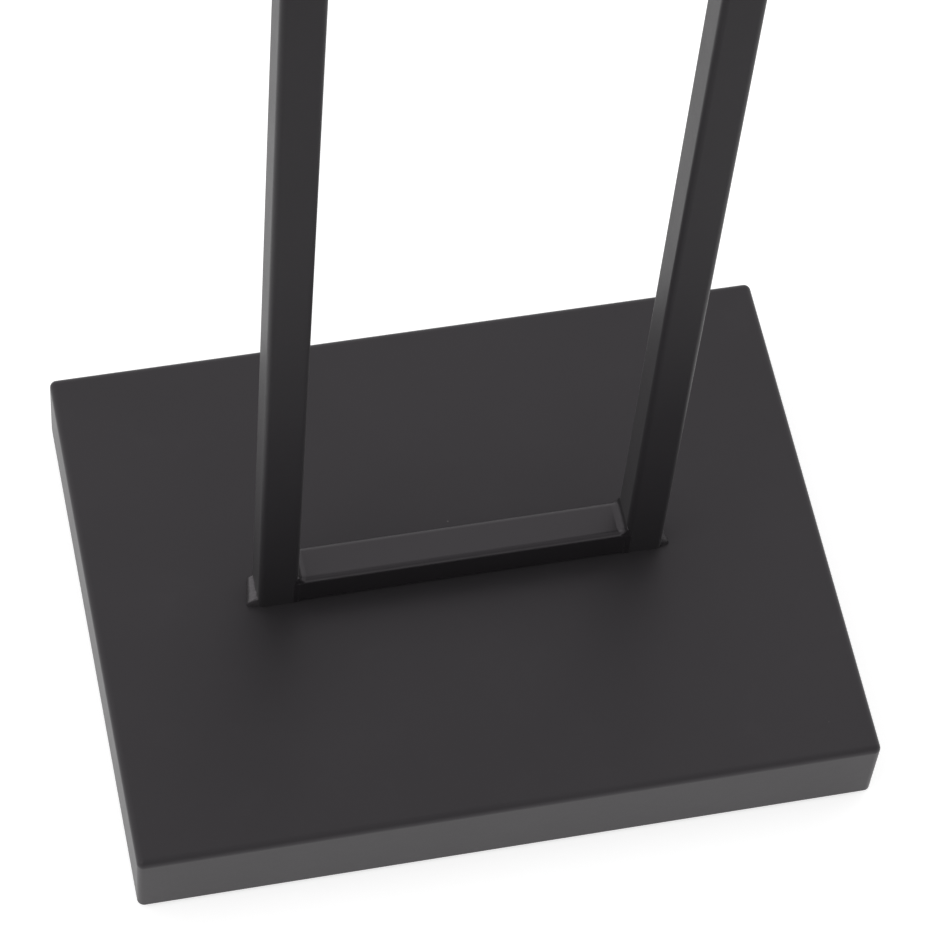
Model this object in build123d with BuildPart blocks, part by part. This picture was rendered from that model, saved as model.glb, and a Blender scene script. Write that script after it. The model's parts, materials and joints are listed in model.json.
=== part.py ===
from build123d import *
import os

os.makedirs("parts", exist_ok=True)

# Valet stand. Lengths are in millimetres. The floor is z = 0, the front is -Y, and the
# stand is symmetrical about x = 0. A welded hoop of square tube stands on a folded steel
# box; the hoop carries the jacket hanger, the key tray and the trouser bar.

# --- Base box -------------------------------------------------------------------------
base_width = 370.0  # side to side
base_depth = 280.0  # front to back
base_height = 43.0  # height of the folded sides
base_sheet = 2.0  # steel sheet of the box
base_edge_radius = 3.5  # outside radius of the folds and the corners
base_lift = 4.0  # the rim of the box stands this far above the floor

# --- Welded hoop ----------------------------------------------------------------------
hoop_width = 206.0  # over the outside of the uprights
hoop_height = 1003.0  # above the top of the base
tube_size = 20.0
tube_wall = 1.5
tube_radius = 3.0
bar_weld_leg = 5.5  # cove in the corner between bottom bar and upright
foot_weld_leg = 5.5  # bead along the outer side of each foot, at its front end
foot_weld_back_leg = 2.5  # the same bead at its back end
foot_weld_length = 18.0

# --- Inside the base ------------------------------------------------------------------
stiffener_width = 40.0
stiffener_sheet = 2.0
stiffener_end_gap = 2.0
ballast_width = 260.0
ballast_depth = 200.0
ballast_thickness = 8.0
ballast_corner = 8.0
ballast_bolt_pitch = 140.0  # front to back
cover_sheet = 1.5
cover_recess = 2.0  # the cover sits this far inside the rim
cover_gap = 0.5  # all round, between the cover and the box
bolt_head_gap = 1.9  # between the ballast bolts and the cover
bracket_width = 24.0
bracket_leg = 18.0
bracket_height = 16.0
bracket_sheet = 2.0

# --- Feet -----------------------------------------------------------------------------
foot_radius = 12.0
foot_top_taper = 1.0
foot_inset_x = 35.0  # foot centre from the side of the box
foot_inset_y = 35.0

# --- Jacket hanger --------------------------------------------------------------------
hanger_span = 430.0  # between the centres of the shoulder ends
hanger_middle = 120.0  # straight middle stretch
hanger_thickness = 30.0  # height of the middle
hanger_depth = 28.0  # front to back in the middle
hanger_drop = 58.0  # how far the shoulders fall
hanger_sweep = 24.0  # how far the shoulders come forward
shoulder_depth = 44.0
shoulder_thickness = 22.0
hanger_edge = 8.0
hanger_end_radius = 7.0
hanger_post_height = 24.0
hanger_post_radius = 7.0
hanger_post_pitch = 90.0

# --- Trouser bar ----------------------------------------------------------------------
trouser_bar_length = 380.0
trouser_bar_radius = 11.0
trouser_bar_drop = 200.0  # axis below the top of the hoop
trouser_bar_flat = 1.5  # depth of the seat milled for each spacer
trouser_bar_end_radius = 5.0
spacer_length = 38.0
spacer_radius = 7.0

# --- Key tray -------------------------------------------------------------------------
tray_width = 240.0
tray_depth = 120.0
tray_height = 24.0
tray_sheet = 1.5
tray_corner = 10.0
tray_fold = 3.0
tray_drop = 105.0  # underside of the tray below the top of the hoop
liner_thickness = 2.0
liner_gap = 1.0
tray_screw_pitch = 11.0  # up and down, two to each upright

# --- Fasteners ------------------------------------------------------------------------
m6_radius = 3.0
m6_hole = 3.3
m6_head_radius = 5.25
m6_head_height = 3.3
m6_socket = 2.0  # half of the hexagon socket across flats
m6_hex_radius = 5.5  # hexagon head and nut, centre to corner
m6_hex_height = 4.0
m6_nut_height = 5.0
m6_washer_radius = 6.0
m6_washer_height = 1.6
m4_radius = 2.0
m4_hole = 2.2
m4_head_radius = 3.8
m4_head_height = 2.2
m4_socket = 1.25
m4_nut_radius = 4.0
m4_nut_height = 3.2
m4_engagement = 8.0  # thread past the piece that the screw clamps
thread_gap = 0.05  # radial room between a thread and what it screws into
insert_radius = 4.5
insert_depth = 14.0
rivet_nut_radius = 3.0
rivet_nut_hole = 3.1
rivet_nut_flange_radius = 4.5
rivet_nut_flange = 0.8
rivet_nut_length = 9.0

# --- Levels and places worked out from the sizes above --------------------------------
base_top = base_lift + base_height
hoop_top = base_top + hoop_height
half_tube = tube_size / 2
trouser_bar_height = hoop_top - trouser_bar_drop
tray_floor_height = hoop_top - tray_drop
upright_x = hoop_width / 2 - half_tube
bar_span = hoop_width - 2 * tube_size
box_inside_width = base_width - 2 * base_sheet
box_inside_depth = base_depth - 2 * base_sheet
box_ceiling = base_top - base_sheet
cover_bottom = base_lift + cover_recess
cover_top = cover_bottom + cover_sheet
ballast_washer_bottom = cover_top + bolt_head_gap + m6_hex_height
ballast_bottom = ballast_washer_bottom + m6_washer_height
stiffener_bottom = ballast_bottom + ballast_thickness
stiffener_height = box_ceiling - stiffener_bottom
ballast_places = [
    (x, y) for x in (-upright_x, upright_x) for y in (-ballast_bolt_pitch / 2, ballast_bolt_pitch / 2)
]
foot_x = base_width / 2 - foot_inset_x
foot_y = base_depth / 2 - foot_inset_y
foot_places = [(x, y) for x in (-foot_x, foot_x) for y in (-foot_y, foot_y)]
bracket_reach_x = box_inside_width / 2 - bracket_leg / 2
bracket_reach_y = box_inside_depth / 2 - bracket_leg / 2
bracket_places = [(0, -bracket_reach_y), (0, bracket_reach_y), (-bracket_reach_x, 0), (bracket_reach_x, 0)]
hanger_bottom = hoop_top + hanger_post_height
hanger_axis = hanger_bottom + hanger_thickness / 2
post_x = hanger_post_pitch / 2
tray_back = -half_tube - rivet_nut_flange
tray_screw_heights = [
    tray_floor_height + tray_height / 2 - tray_screw_pitch / 2,
    tray_floor_height + tray_height / 2 + tray_screw_pitch / 2,
]
tray_screw_places = [(x, z) for x in (-upright_x, upright_x) for z in tray_screw_heights]
spacer_end = -half_tube - spacer_length
trouser_bar_y = spacer_end - trouser_bar_radius + trouser_bar_flat
SIDES = (("left", -1), ("right", 1))


# --- Base box -------------------------------------------------------------------------
# A pan of folded sheet, open at the bottom, with its corners welded and dressed round.
with BuildPart() as base_shell:
    with BuildSketch(Plane.XY.offset(base_lift)):
        Rectangle(base_width, base_depth)
    extrude(amount=base_height)
    base_rim = base_shell.faces().sort_by(Axis.Z)[0]
    fillet(base_shell.edges() - base_rim.edges(), base_edge_radius)
    offset(amount=-base_sheet, openings=base_shell.faces().sort_by(Axis.Z)[0])
base_shell.part.label = "base_shell"
export_step(base_shell.part, "parts/base_shell.step")

# Two channels welded under the top of the box, one below each foot of the hoop.
for side, sign in SIDES:
    with BuildPart() as stiffener:
        with BuildSketch(Plane.XZ.offset(-box_inside_depth / 2 + stiffener_end_gap)):
            with Locations((sign * upright_x, stiffener_bottom)):
                Rectangle(stiffener_width, stiffener_height, align=(Align.CENTER, Align.MIN))
            with Locations((sign * upright_x, stiffener_bottom + stiffener_sheet)):
                Rectangle(
                    stiffener_width - 2 * stiffener_sheet,
                    stiffener_height,
                    align=(Align.CENTER, Align.MIN),
                    mode=Mode.SUBTRACT,
                )
        extrude(amount=box_inside_depth - 2 * stiffener_end_gap)
        fillet(
            stiffener.edges().filter_by(Axis.Y).group_by(Axis.Z)[0],
            stiffener_sheet,
        )
        with Locations(Plane.XY.offset(stiffener_bottom)):
            with GridLocations(1, ballast_bolt_pitch, 1, 2):
                with Locations((sign * upright_x, 0)):
                    Hole(m6_hole, depth=stiffener_height)
    stiffener.part.label = f"{side}_stiffener"
    export_step(stiffener.part, f"parts/{side}_stiffener.step")

# The weight that keeps the stand from tipping, bolted up to the channels.
with BuildPart() as ballast_plate:
    with BuildSketch(Plane.XY.offset(ballast_bottom)):
        RectangleRounded(ballast_width, ballast_depth, ballast_corner)
        with Locations(*ballast_places):
            Circle(m6_hole, mode=Mode.SUBTRACT)
    extrude(amount=ballast_thickness)
    chamfer(ballast_plate.faces().sort_by(Axis.Z)[0].outer_wire().edges(), 1)
ballast_plate.part.label = "ballast_plate"
export_step(ballast_plate.part, "parts/ballast_plate.step")

with BuildPart() as ballast_nuts:
    with BuildSketch(Plane.XY.offset(stiffener_bottom + stiffener_sheet)):
        with Locations(*ballast_places):
            RegularPolygon(m6_hex_radius, 6)
            Circle(m6_radius + thread_gap, mode=Mode.SUBTRACT)
    extrude(amount=m6_nut_height)
ballast_nuts.part.label = "ballast_nuts"
export_step(ballast_nuts.part, "parts/ballast_nuts.step")

with BuildPart() as ballast_washers:
    with BuildSketch(Plane.XY.offset(ballast_washer_bottom)):
        with Locations(*ballast_places):
            Circle(m6_washer_radius)
            Circle(m6_hole, mode=Mode.SUBTRACT)
    extrude(amount=m6_washer_height)
ballast_washers.part.label = "ballast_washers"
export_step(ballast_washers.part, "parts/ballast_washers.step")

ballast_bolt_length = m6_washer_height + ballast_thickness + stiffener_sheet + m6_nut_height + 1
with BuildPart() as ballast_bolts:
    with BuildSketch(Plane.XY.offset(ballast_washer_bottom)):
        with Locations(*ballast_places):
            RegularPolygon(m6_hex_radius, 6)
    extrude(amount=-m6_hex_height)
    with BuildSketch(Plane.XY.offset(ballast_washer_bottom)):
        with Locations(*ballast_places):
            Circle(m6_radius)
    extrude(amount=ballast_bolt_length)
ballast_bolts.part.label = "ballast_bolts"
export_step(ballast_bolts.part, "parts/ballast_bolts.step")

# Four angle brackets welded inside the sides hold the cover.
for (x, y), where in zip(bracket_places, ("front", "back", "left", "right")):
    across_x = x != 0
    leg_x = bracket_leg if across_x else bracket_width
    leg_y = bracket_width if across_x else bracket_leg
    wall_x = x + (bracket_leg - bracket_sheet) / 2 * (1 if x > 0 else -1) if across_x else x
    wall_y = y if across_x else y + (bracket_leg - bracket_sheet) / 2 * (1 if y > 0 else -1)
    with BuildPart() as bracket:
        with BuildSketch(Plane.XY.offset(cover_top)):
            with Locations((x, y)):
                Rectangle(leg_x, leg_y)
                Circle(m4_radius + thread_gap, mode=Mode.SUBTRACT)
        extrude(amount=bracket_sheet)
        with BuildSketch(Plane.XY.offset(cover_top)):
            with Locations((wall_x, wall_y)):
                Rectangle(
                    bracket_sheet if across_x else bracket_width,
                    bracket_width if across_x else bracket_sheet,
                )
        extrude(amount=bracket_height)
    bracket.part.label = f"{where}_cover_bracket"
    export_step(bracket.part, f"parts/{where}_cover_bracket.step")

with BuildPart() as bottom_cover:
    with BuildSketch(Plane.XY.offset(cover_bottom)):
        RectangleRounded(
            box_inside_width - 2 * cover_gap,
            box_inside_depth - 2 * cover_gap,
            base_edge_radius - base_sheet,
        )
        with Locations(*bracket_places, *foot_places):
            Circle(m4_hole, mode=Mode.SUBTRACT)
    extrude(amount=cover_sheet)
bottom_cover.part.label = "bottom_cover"
export_step(bottom_cover.part, "parts/bottom_cover.step")

with BuildPart() as cover_screws:
    with BuildSketch(Plane.XY.offset(cover_bottom)):
        with Locations(*bracket_places):
            Circle(m4_head_radius)
    extrude(amount=-m4_head_height)
    fillet(cover_screws.edges().group_by(Axis.Z)[0], m4_head_height / 2)
    with BuildSketch(Plane.XY.offset(cover_bottom - m4_head_height)):
        with Locations(*bracket_places):
            RegularPolygon(m4_socket, 6, major_radius=False)
    extrude(amount=m4_head_height / 2, mode=Mode.SUBTRACT)
    with BuildSketch(Plane.XY.offset(cover_bottom)):
        with Locations(*bracket_places):
            Circle(m4_radius)
    extrude(amount=m4_engagement)
cover_screws.part.label = "cover_screws"
export_step(cover_screws.part, "parts/cover_screws.step")

# --- Feet -----------------------------------------------------------------------------
foot_recess_radius = m4_head_radius + 0.6
foot_recess_depth = cover_bottom / 2
for (x, y), where in zip(foot_places, ("front_left", "back_left", "front_right", "back_right")):
    with BuildPart() as foot:
        with BuildSketch(Plane.XY):
            with Locations((x, y)):
                Circle(foot_radius - foot_top_taper)
        with BuildSketch(Plane.XY.offset(cover_bottom)):
            with Locations((x, y)):
                Circle(foot_radius)
        loft()
        with Locations(Plane.XY * Pos(x, y, 0) * Rot(180, 0, 0)):
            CounterBoreHole(m4_hole, foot_recess_radius, foot_recess_depth)
    foot.part.label = f"{where}_foot"
    export_step(foot.part, f"parts/{where}_foot.step")

foot_screw_length = cover_bottom - foot_recess_depth + cover_sheet + m4_nut_height + 0.8
with BuildPart() as foot_screws:
    with BuildSketch(Plane.XY.offset(foot_recess_depth)):
        with Locations(*foot_places):
            Circle(m4_head_radius)
    extrude(amount=-m4_head_height)
    fillet(foot_screws.edges().group_by(Axis.Z)[0], m4_head_height / 2)
    with BuildSketch(Plane.XY.offset(foot_recess_depth - m4_head_height)):
        with Locations(*foot_places):
            RegularPolygon(m4_socket, 6, major_radius=False)
    extrude(amount=m4_head_height / 2, mode=Mode.SUBTRACT)
    with BuildSketch(Plane.XY.offset(foot_recess_depth)):
        with Locations(*foot_places):
            Circle(m4_radius)
    extrude(amount=foot_screw_length)
foot_screws.part.label = "foot_screws"
export_step(foot_screws.part, "parts/foot_screws.step")

with BuildPart() as foot_nuts:
    with BuildSketch(Plane.XY.offset(cover_top)):
        with Locations(*foot_places):
            RegularPolygon(m4_nut_radius, 6)
            Circle(m4_radius + thread_gap, mode=Mode.SUBTRACT)
    extrude(amount=m4_nut_height)
foot_nuts.part.label = "foot_nuts"
export_step(foot_nuts.part, "parts/foot_nuts.step")

# --- Hoop -----------------------------------------------------------------------------
# Each upright stands on the base and is mitred into the top bar.
mitre_cut = 2 * tube_size
for side, sign in SIDES:
    with BuildPart() as upright:
        with BuildSketch(Plane.XY.offset(base_top)):
            with Locations((sign * upright_x, 0)):
                RectangleRounded(tube_size, tube_size, tube_radius)
                RectangleRounded(
                    tube_size - 2 * tube_wall,
                    tube_size - 2 * tube_wall,
                    tube_radius - tube_wall,
                    mode=Mode.SUBTRACT,
                )
        extrude(amount=hoop_height)
        with BuildSketch(Plane.XZ):
            with BuildLine():
                Polyline(
                    (sign * hoop_width / 2, hoop_top),
                    (sign * (hoop_width / 2 - mitre_cut), hoop_top - mitre_cut),
                    (sign * (hoop_width / 2 - mitre_cut), hoop_top),
                    close=True,
                )
            make_face()
        extrude(amount=tube_size, both=True, mode=Mode.SUBTRACT)
        with Locations(Plane.XZ * Pos(sign * upright_x, trouser_bar_height, 0)):
            Hole(m6_hole)
        with Locations(*[Plane.XZ * Pos(sign * upright_x, z, half_tube) for z in tray_screw_heights]):
            Hole(rivet_nut_hole, depth=half_tube)
    upright.part.label = f"{side}_upright"
    export_step(upright.part, f"parts/{side}_upright.step")

with BuildPart() as top_bar:
    with BuildSketch(Plane.YZ.offset(-hoop_width / 2)):
        with Locations((0, hoop_top - half_tube)):
            RectangleRounded(tube_size, tube_size, tube_radius)
            RectangleRounded(
                tube_size - 2 * tube_wall,
                tube_size - 2 * tube_wall,
                tube_radius - tube_wall,
                mode=Mode.SUBTRACT,
            )
    extrude(amount=hoop_width)
    with BuildSketch(Plane.XZ):
        with BuildLine():
            Polyline(
                (-hoop_width / 2, hoop_top),
                (-hoop_width / 2 + mitre_cut, hoop_top - mitre_cut),
                (-hoop_width / 2, hoop_top - mitre_cut),
                close=True,
            )
        make_face()
        mirror(about=Plane.YZ)
    extrude(amount=tube_size, both=True, mode=Mode.SUBTRACT)
    with Locations((-post_x, 0, hoop_top), (post_x, 0, hoop_top)):
        Hole(m6_hole, depth=tube_size)
top_bar.part.label = "top_bar"
export_step(top_bar.part, "parts/top_bar.step")

with BuildPart() as bottom_bar:
    with BuildSketch(Plane.YZ.offset(-bar_span / 2)):
        with Locations((0, base_top + half_tube)):
            RectangleRounded(tube_size, tube_size, tube_radius)
            RectangleRounded(
                tube_size - 2 * tube_wall,
                tube_size - 2 * tube_wall,
                tube_radius - tube_wall,
                mode=Mode.SUBTRACT,
            )
    extrude(amount=bar_span)
bottom_bar.part.label = "bottom_bar"
export_step(bottom_bar.part, "parts/bottom_bar.step")

# Welds: one fills the joint between each end of the bar and its upright, as a cove on top and
# flush with the tubes at front and back. The other runs along the outer side of each foot.
seam_height = tube_size + bar_weld_leg
for side, sign in SIDES:
    with BuildPart() as bar_weld:
        with BuildSketch(Plane.XZ.offset(-half_tube)):
            with BuildLine():
                toe = (sign * (bar_span / 2 - bar_weld_leg), base_top + tube_size)
                crown = (sign * bar_span / 2, base_top + seam_height)
                RadiusArc(toe, crown, sign * 2 * bar_weld_leg)
                Polyline(
                    crown,
                    (sign * bar_span / 2, base_top + tube_size - tube_radius),
                    (sign * (bar_span / 2 - bar_weld_leg), base_top + tube_size - tube_radius),
                    toe,
                )
            make_face()
        extrude(amount=tube_size)
        with BuildSketch(Plane.XY.offset(base_top)):
            with Locations((sign * (bar_span + tube_radius) / 2, 0)):
                Rectangle(tube_radius, tube_size)
        extrude(amount=seam_height)
        with BuildSketch(Plane.XY.offset(base_top)):
            with Locations((sign * upright_x, 0)):
                RectangleRounded(tube_size, tube_size, tube_radius)
        extrude(amount=seam_height, mode=Mode.SUBTRACT)
        with BuildSketch(Plane.YZ.offset(-bar_span / 2)):
            with Locations((0, base_top + half_tube)):
                RectangleRounded(tube_size, tube_size, tube_radius)
        extrude(amount=bar_span, mode=Mode.SUBTRACT)
    bar_weld.part.label = f"{side}_bar_weld"
    export_step(bar_weld.part, f"parts/{side}_bar_weld.step")
    with BuildPart() as foot_weld:
        for leg, y in ((foot_weld_leg, -foot_weld_length / 2), (foot_weld_back_leg, foot_weld_length / 2)):
            with BuildSketch(Plane.XZ.offset(-y)):
                with BuildLine():
                    corner = (sign * hoop_width / 2, base_top)
                    toe = (sign * (hoop_width / 2 + leg), base_top)
                    crown = (sign * hoop_width / 2, base_top + leg)
                    Line(corner, toe)
                    RadiusArc(toe, crown, -sign * 2 * leg)
                    Line(crown, corner)
                make_face()
        loft()
    foot_weld.part.label = f"{side}_foot_weld"
    export_step(foot_weld.part, f"parts/{side}_foot_weld.step")

# --- Jacket hanger --------------------------------------------------------------------
# A straight middle on two posts, with a broad shoulder lofted down and forward each side.
arm_start = hanger_middle / 2
arm_end = hanger_span / 2
with BuildPart() as jacket_hanger:
    with BuildLine() as arm_line:
        Spline(
            (arm_start, 0, hanger_axis),
            ((arm_start + arm_end) / 2, -hanger_sweep * 0.3, hanger_axis - hanger_drop * 0.32),
            (arm_end, -hanger_sweep, hanger_axis - hanger_drop),
            tangents=((1, 0, 0), (0.85, -0.25, -0.45)),
        )
    arm = arm_line.line
    for step in range(5):
        share = step / 4
        blend = share * share * (3 - 2 * share)
        section_plane = Plane(origin=arm @ share, x_dir=(0, 1, 0), z_dir=arm % share)
        with BuildSketch(section_plane):
            RectangleRounded(
                hanger_depth + blend * (shoulder_depth - hanger_depth),
                hanger_thickness + blend * (shoulder_thickness - hanger_thickness),
                hanger_edge,
            )
    loft()
    fillet(jacket_hanger.faces().sort_by(Axis.X)[-1].edges(), hanger_end_radius)
    mirror(about=Plane.YZ)
    with BuildSketch(Plane.YZ.offset(-arm_start)):
        with Locations((0, hanger_axis)):
            RectangleRounded(hanger_depth, hanger_thickness, hanger_edge)
    extrude(amount=hanger_middle)
    with Locations(*[Plane.XY * Pos(x, 0, hanger_bottom) * Rot(180, 0, 0) for x in (-post_x, post_x)]):
        Hole(insert_radius, depth=insert_depth)
jacket_hanger.part.label = "jacket_hanger"
export_step(jacket_hanger.part, "parts/jacket_hanger.step")

for side, sign in SIDES:
    with BuildPart() as hanger_post:
        with BuildSketch(Plane.XY.offset(hoop_top)):
            with Locations((sign * post_x, 0)):
                Circle(hanger_post_radius)
                Circle(m6_hole, mode=Mode.SUBTRACT)
        extrude(amount=hanger_post_height)
    hanger_post.part.label = f"{side}_hanger_post"
    export_step(hanger_post.part, f"parts/{side}_hanger_post.step")

with BuildPart() as hanger_inserts:
    with BuildSketch(Plane.XY.offset(hanger_bottom)):
        with Locations((-post_x, 0), (post_x, 0)):
            Circle(insert_radius)
            Circle(m6_radius + thread_gap, mode=Mode.SUBTRACT)
    extrude(amount=insert_depth)
hanger_inserts.part.label = "hanger_inserts"
export_step(hanger_inserts.part, "parts/hanger_inserts.step")

hanger_bolt_seat = hoop_top - tube_size
hanger_bolt_length = tube_size + hanger_post_height + insert_depth - 1
with BuildPart() as hanger_bolts:
    with BuildSketch(Plane.XY.offset(hanger_bolt_seat)):
        with Locations((-post_x, 0), (post_x, 0)):
            Circle(m6_head_radius)
    extrude(amount=-m6_head_height)
    fillet(hanger_bolts.edges().group_by(Axis.Z)[0], m6_head_height / 2)
    with BuildSketch(Plane.XY.offset(hanger_bolt_seat - m6_head_height)):
        with Locations((-post_x, 0), (post_x, 0)):
            RegularPolygon(m6_socket, 6, major_radius=False)
    extrude(amount=m6_head_height / 2, mode=Mode.SUBTRACT)
    with BuildSketch(Plane.XY.offset(hanger_bolt_seat)):
        with Locations((-post_x, 0), (post_x, 0)):
            Circle(m6_radius)
    extrude(amount=hanger_bolt_length)
hanger_bolts.part.label = "hanger_bolts"
export_step(hanger_bolts.part, "parts/hanger_bolts.step")

# --- Trouser bar ----------------------------------------------------------------------
# A round wooden bar held in front of the uprights on two steel spacers.
with BuildPart() as trouser_bar:
    with BuildSketch(Plane.YZ.offset(-trouser_bar_length / 2)):
        with Locations((trouser_bar_y, trouser_bar_height)):
            Circle(trouser_bar_radius)
    extrude(amount=trouser_bar_length)
    fillet(trouser_bar.edges().filter_by(GeomType.CIRCLE), trouser_bar_end_radius)
    with Locations(*[Plane.XZ * Pos(x, trouser_bar_height, -spacer_end) for x in (-upright_x, upright_x)]):
        Cylinder(
            spacer_radius,
            trouser_bar_flat * 2,
            align=(Align.CENTER, Align.CENTER, Align.CENTER),
            mode=Mode.SUBTRACT,
        )
    with Locations(*[
        Plane.XZ * Pos(x, trouser_bar_height, -spacer_end) * Rot(180, 0, 0) for x in (-upright_x, upright_x)
    ]):
        Hole(insert_radius, depth=insert_depth)
trouser_bar.part.label = "trouser_bar"
export_step(trouser_bar.part, "parts/trouser_bar.step")

for side, sign in SIDES:
    with BuildPart() as bar_spacer:
        with BuildSketch(Plane.XZ.offset(half_tube)):
            with Locations((sign * upright_x, trouser_bar_height)):
                Circle(spacer_radius)
                Circle(m6_hole, mode=Mode.SUBTRACT)
        extrude(amount=spacer_length)
    bar_spacer.part.label = f"{side}_bar_spacer"
    export_step(bar_spacer.part, f"parts/{side}_bar_spacer.step")

with BuildPart() as trouser_bar_inserts:
    with BuildSketch(Plane.XZ.offset(-spacer_end)):
        with Locations((-upright_x, trouser_bar_height), (upright_x, trouser_bar_height)):
            Circle(insert_radius)
            Circle(m6_radius + thread_gap, mode=Mode.SUBTRACT)
    extrude(amount=insert_depth)
trouser_bar_inserts.part.label = "trouser_bar_inserts"
export_step(trouser_bar_inserts.part, "parts/trouser_bar_inserts.step")

trouser_bolt_length = tube_size + spacer_length + insert_depth - 1
with BuildPart() as trouser_bar_bolts:
    with BuildSketch(Plane.XZ.offset(-half_tube)):
        with Locations((-upright_x, trouser_bar_height), (upright_x, trouser_bar_height)):
            Circle(m6_head_radius)
    extrude(amount=-m6_head_height)
    fillet(trouser_bar_bolts.edges().group_by(Axis.Y)[-1], m6_head_height / 2)
    with BuildSketch(Plane.XZ.offset(-half_tube - m6_head_height)):
        with Locations((-upright_x, trouser_bar_height), (upright_x, trouser_bar_height)):
            RegularPolygon(m6_socket, 6, major_radius=False)
    extrude(amount=m6_head_height / 2, mode=Mode.SUBTRACT)
    with BuildSketch(Plane.XZ.offset(-half_tube)):
        with Locations((-upright_x, trouser_bar_height), (upright_x, trouser_bar_height)):
            Circle(m6_radius)
    extrude(amount=trouser_bolt_length)
trouser_bar_bolts.part.label = "trouser_bar_bolts"
export_step(trouser_bar_bolts.part, "parts/trouser_bar_bolts.step")

# --- Key tray -------------------------------------------------------------------------
# A shallow pan in front of the uprights, open at the top, with a felt liner.
tray_middle = tray_back - tray_depth / 2
with BuildPart() as key_tray:
    with BuildSketch(Plane.XY.offset(tray_floor_height)):
        with Locations((0, tray_middle)):
            RectangleRounded(tray_width, tray_depth, tray_corner)
    extrude(amount=tray_height)
    fillet(key_tray.faces().sort_by(Axis.Z)[0].edges(), tray_fold)
    offset(amount=-tray_sheet, openings=key_tray.faces().sort_by(Axis.Z)[-1])
    with Locations(*[Plane.XZ * Pos(x, z, -tray_back) for x, z in tray_screw_places]):
        Hole(m4_hole, depth=2 * tray_sheet)
key_tray.part.label = "key_tray"
export_step(key_tray.part, "parts/key_tray.step")

with BuildPart() as tray_liner:
    with BuildSketch(Plane.XY.offset(tray_floor_height + tray_sheet)):
        with Locations((0, tray_middle)):
            RectangleRounded(
                tray_width - 2 * (tray_fold + liner_gap),
                tray_depth - 2 * (tray_fold + liner_gap),
                tray_corner - tray_fold,
            )
    extrude(amount=liner_thickness)
tray_liner.part.label = "tray_liner"
export_step(tray_liner.part, "parts/tray_liner.step")

# Rivet nuts set in the front walls of the uprights; their flanges hold the tray off.
with BuildPart() as tray_rivet_nuts:
    with BuildSketch(Plane.XZ.offset(half_tube)):
        with Locations(*tray_screw_places):
            Circle(rivet_nut_flange_radius)
    extrude(amount=rivet_nut_flange)
    with BuildSketch(Plane.XZ.offset(half_tube)):
        with Locations(*tray_screw_places):
            Circle(rivet_nut_radius)
    extrude(amount=-rivet_nut_length)
    with BuildSketch(Plane.XZ.offset(half_tube + rivet_nut_flange)):
        with Locations(*tray_screw_places):
            Circle(m4_radius + thread_gap)
    extrude(amount=-rivet_nut_length - rivet_nut_flange, mode=Mode.SUBTRACT)
tray_rivet_nuts.part.label = "tray_rivet_nuts"
export_step(tray_rivet_nuts.part, "parts/tray_rivet_nuts.step")

tray_screw_seat = tray_back - tray_sheet
with BuildPart() as tray_screws:
    with BuildSketch(Plane.XZ.offset(-tray_screw_seat)):
        with Locations(*tray_screw_places):
            Circle(m4_head_radius)
    extrude(amount=m4_head_height)
    fillet(tray_screws.edges().group_by(Axis.Y)[0], m4_head_height / 2)
    with BuildSketch(Plane.XZ.offset(-tray_screw_seat + m4_head_height)):
        with Locations(*tray_screw_places):
            RegularPolygon(m4_socket, 6, major_radius=False)
    extrude(amount=-m4_head_height / 2, mode=Mode.SUBTRACT)
    with BuildSketch(Plane.XZ.offset(-tray_screw_seat)):
        with Locations(*tray_screw_places):
            Circle(m4_radius)
    extrude(amount=-m4_engagement)
tray_screws.part.label = "tray_screws"
export_step(tray_screws.part, "parts/tray_screws.step")
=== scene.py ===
"""Looks of the valet stand: a black powder-coated hoop on a folded steel base, with beech pieces."""

import json
import logging
import math
from dataclasses import dataclass
from enum import Enum
from typing import Callable, Iterable, Sequence

import bmesh
import bpy
from mathutils import Matrix, Vector

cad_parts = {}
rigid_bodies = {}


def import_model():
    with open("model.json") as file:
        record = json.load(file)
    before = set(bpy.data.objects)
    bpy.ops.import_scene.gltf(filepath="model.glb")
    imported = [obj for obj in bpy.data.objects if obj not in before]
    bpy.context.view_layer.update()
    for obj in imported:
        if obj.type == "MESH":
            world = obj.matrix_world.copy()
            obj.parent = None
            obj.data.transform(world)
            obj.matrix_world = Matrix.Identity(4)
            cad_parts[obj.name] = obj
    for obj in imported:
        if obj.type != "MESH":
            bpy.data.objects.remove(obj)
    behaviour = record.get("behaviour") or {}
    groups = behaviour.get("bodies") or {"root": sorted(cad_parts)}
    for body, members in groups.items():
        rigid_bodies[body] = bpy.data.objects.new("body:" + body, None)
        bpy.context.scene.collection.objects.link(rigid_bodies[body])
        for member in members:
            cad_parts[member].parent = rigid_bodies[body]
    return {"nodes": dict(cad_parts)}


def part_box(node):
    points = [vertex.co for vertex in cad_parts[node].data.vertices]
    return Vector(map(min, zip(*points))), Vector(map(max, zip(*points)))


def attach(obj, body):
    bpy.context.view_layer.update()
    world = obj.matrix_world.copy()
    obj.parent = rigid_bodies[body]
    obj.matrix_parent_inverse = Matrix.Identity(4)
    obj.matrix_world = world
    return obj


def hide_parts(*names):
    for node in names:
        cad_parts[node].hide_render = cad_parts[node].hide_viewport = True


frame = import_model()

LOG = logging.getLogger("valet_stand")
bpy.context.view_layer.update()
BODY = "root"
MM = 0.001
NEAR = 0.01 * MM
MERGE = 0.001 * MM
SMOOTH_ANGLE = math.radians(35.0)
Colour = tuple[float, float, float]


# --- Shader maths ---------------------------------------------------------------------


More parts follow.
